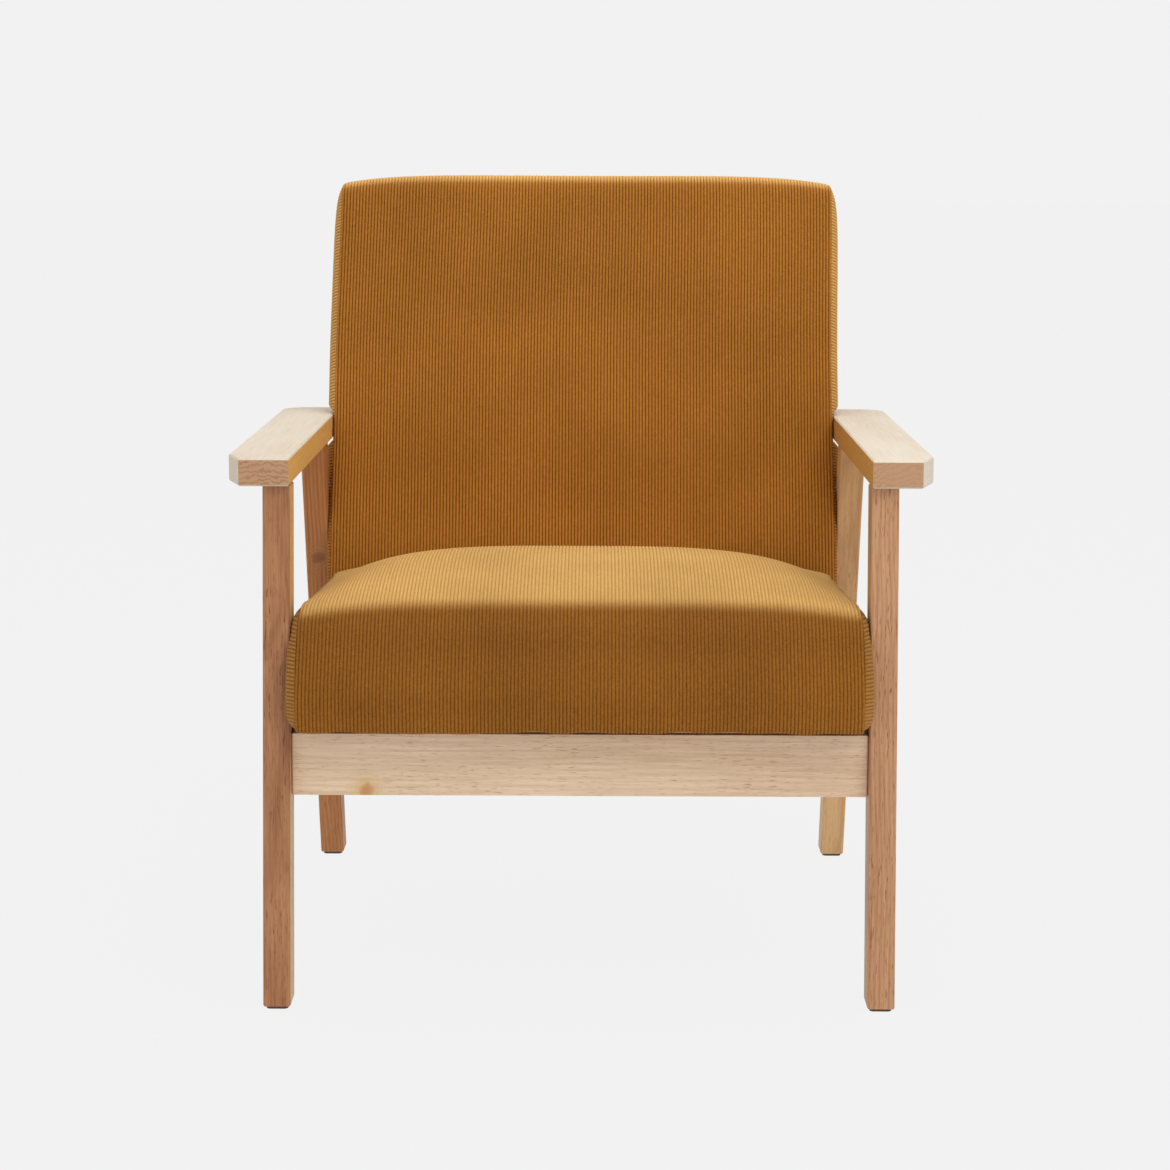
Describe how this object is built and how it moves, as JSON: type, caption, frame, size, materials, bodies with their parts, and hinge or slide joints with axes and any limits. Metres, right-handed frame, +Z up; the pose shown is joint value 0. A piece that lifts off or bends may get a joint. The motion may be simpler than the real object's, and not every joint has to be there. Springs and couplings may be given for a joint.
{
  "type": "wooden armchair",
  "caption": "Low armchair with a solid wood frame on leaning legs, flat armrests, and an upholstered seat pad and reclined back pad in corduroy.",
  "frame": {"origin": "on the floor, under the middle of the chair's overall box", "axes": "+Z up; the sitter faces -Y; +X is to the right seen from the front"},
  "size_m": [0.648, 0.6382, 0.751],
  "materials": {
    "frame_wood": "light oak-coloured hardwood, clear satin lacquer",
    "inner_wood": "plain unfinished softwood",
    "corduroy": "mustard brown ribbed corduroy",
    "foam": "open cell upholstery foam",
    "webbing": "woven elastic webbing",
    "lining": "black non-woven lining",
    "steel": "zinc plated",
    "glide_plastic": "dark brown moulded plastic"
  },
  "bodies": {
    "root": {"front_leg_L": "frame_wood", "front_leg_R": "frame_wood", "rear_leg_L": "frame_wood", "rear_leg_R": "frame_wood", "armrest_L": "frame_wood", "armrest_R": "frame_wood", "side_rail_L": "frame_wood", "side_rail_R": "frame_wood", "front_rail": "frame_wood", "rear_rail": "frame_wood", "seat_cleat_L": "inner_wood", "seat_cleat_R": "inner_wood", "foot_glide_front_L": "glide_plastic", "foot_glide_front_R": "glide_plastic", "foot_glide_rear_L": "glide_plastic", "foot_glide_rear_R": "glide_plastic", "front_rail_bolt_L": "steel", "front_barrel_nut_L": "steel", "front_rail_dowel_L": "inner_wood", "front_rail_bolt_R": "steel", "front_barrel_nut_R": "steel", "front_rail_dowel_R": "inner_wood", "rear_rail_bolt_L": "steel", "rear_barrel_nut_L": "steel", "rear_rail_dowel_L": "inner_wood", "rear_rail_bolt_R": "steel", "rear_barrel_nut_R": "steel", "rear_rail_dowel_R": "inner_wood", "cleat_screw_front_L": "steel", "seat_screw_front_L": "steel", "cleat_screw_front_R": "steel", "seat_screw_front_R": "steel", "cleat_screw_rear_L": "steel", "seat_screw_rear_L": "steel", "cleat_screw_rear_R": "steel", "seat_screw_rear_R": "steel", "back_bolt_lower_L": "steel", "threaded_insert_lower_L": "steel", "back_bolt_lower_R": "steel", "threaded_insert_lower_R": "steel", "back_bolt_upper_L": "steel", "threaded_insert_upper_L": "steel", "back_bolt_upper_R": "steel", "threaded_insert_upper_R": "steel", "seat_frame_front": "inner_wood", "seat_frame_rear": "inner_wood", "seat_frame_L": "inner_wood", "seat_frame_R": "inner_wood", "seat_webbing": "webbing", "seat_foam": "foam", "seat_cover": "corduroy", "dust_cover": "lining", "back_stile_L": "inner_wood", "back_stile_R": "inner_wood", "back_frame_bottom": "inner_wood", "back_frame_top": "inner_wood", "back_webbing": "webbing", "back_foam_front": "foam", "back_foam_rear": "foam", "back_cover": "corduroy"}
  },
  "joints": []
}
